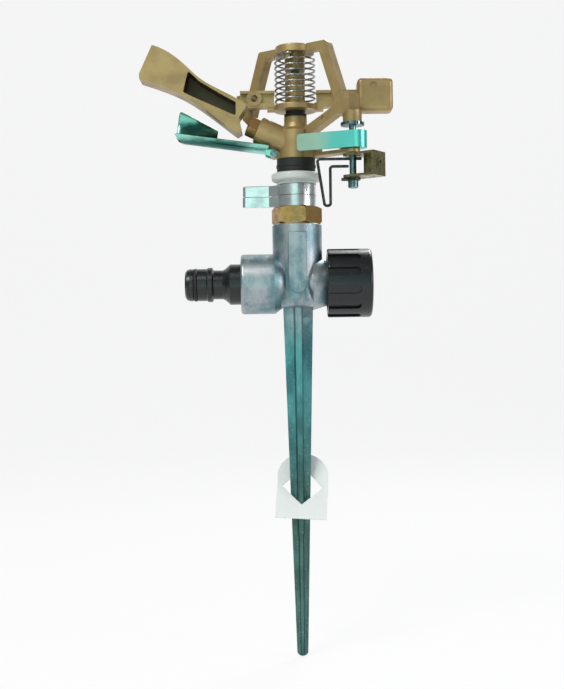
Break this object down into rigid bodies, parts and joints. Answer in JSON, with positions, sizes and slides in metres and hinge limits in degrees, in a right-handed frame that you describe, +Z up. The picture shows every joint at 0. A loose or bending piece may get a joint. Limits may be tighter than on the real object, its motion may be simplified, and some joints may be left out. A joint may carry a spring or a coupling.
{
  "type": "impulse sprinkler",
  "caption": "Impulse sprinkler on a ground spike: tee with hose nipple and end cap, swivelling head with spring-returned drive arm, trip lever and range collars",
  "frame": {"origin": "spike tip, on the swivel axis", "axes": "+Z up along the swivel axis, X along the water pipe with the end cap at +X, -Y towards the viewer"},
  "size_m": [0.1255, 0.0537, 0.3044],
  "materials": {
    "zinc": "bare die-cast zinc, sandy, faint blue-green passivation",
    "black_plastic": "moulded, glossy",
    "rubber": "matt",
    "card": "coated card, bare",
    "brass": "turned",
    "collar_steel": "polished",
    "white_plastic": "moulded",
    "gold_paint": "gold-bronze paint over a casting",
    "steel": "plain",
    "polished_steel": "bright plated sheet",
    "yellow_zinc": "yellow zinc plate",
    "dark_steel": "dark spring wire",
    "nylon": "moulded"
  },
  "bodies": {
    "base": {"spike_tee": "zinc", "hose_nipple": "black_plastic", "nipple_o_ring": "rubber", "spike_tag": "card", "bearing_nut": "brass"},
    "cap_seal": {"cap_washer": "rubber"},
    "cap": {"end_cap": "black_plastic"},
    "lower_collar": {"collar_lower": "collar_steel"},
    "upper_collar": {"collar_upper": "collar_steel"},
    "head": {"head_casting": "gold_paint", "swivel_tube": "brass", "thrust_washers_rubber": "rubber", "thrust_washer_nylon": "nylon", "spring_seat": "white_plastic", "dust_sleeve": "rubber", "bearing_spring": "dark_steel", "nozzle": "brass", "fulcrum_pin": "steel", "deflector_pin": "steel", "serrated_washer": "steel", "arm_washers": "rubber"},
    "jet_deflector": {"deflector": "polished_steel"},
    "arm": {"drive_arm": "gold_paint", "arm_bushing": "nylon", "arm_spring": "dark_steel"},
    "trip": {"trip_lever": "polished_steel", "trip_shaft": "steel", "shaft_clip": "dark_steel", "trip_bracket": "yellow_zinc", "bracket_rivet": "yellow_zinc"},
    "wire": {"trip_wire": "dark_steel"}
  },
  "joints": [
    {"name": "cap_travel", "type": "slide", "parent": "base", "child": "cap_seal", "axis": [1, 0, 0], "range_m": [0, 0.01]},
    {"name": "cap_turn", "type": "hinge", "parent": "cap_seal", "child": "cap", "pos_m": [0.025, 0, 0.186], "axis": [1, 0, 0], "range_deg": [0, 1980]},
    {"name": "lower_collar_turn", "type": "hinge", "parent": "base", "child": "lower_collar", "pos_m": [0, 0, 0.2269], "axis": [0, 0, 1], "range_deg": [-100, 100]},
    {"name": "upper_collar_turn", "type": "hinge", "parent": "base", "child": "upper_collar", "pos_m": [0, 0, 0.2324], "axis": [0, 0, 1], "range_deg": [-100, 100]},
    {"name": "head_swing", "type": "hinge", "parent": "base", "child": "head", "pos_m": [0, 0, 0.226], "axis": [0, 0, 1], "range_deg": [-100, 200]},
    {"name": "deflector_tilt", "type": "hinge", "parent": "head", "child": "jet_deflector", "pos_m": [-0.011, 0, 0.2506], "axis": [0, 1, 0], "range_deg": [0, 8]},
    {"name": "arm_swing", "type": "hinge", "parent": "head", "child": "arm", "pos_m": [0, 0, 0.2811], "axis": [0, 0, 1], "range_deg": [0, 80], "stiffness_Nm_per_rad": 0.01, "springref_deg": -34.38},
    {"name": "trip_toggle", "type": "hinge", "parent": "head", "child": "trip", "pos_m": [0.02718, -0.01975, 0.2491], "axis": [0, 0, 1], "range_deg": [0, 18]},
    {"name": "wire_flip", "type": "hinge", "parent": "trip", "child": "wire", "pos_m": [0.02718, -0.01975, 0.245], "axis": [-1, 0, 0], "range_deg": [0, 95]}
  ],
  "couplings": [
    {"joint": "cap_travel", "follows": "cap_turn", "m_per_rad": 0.00028871}
  ]
}
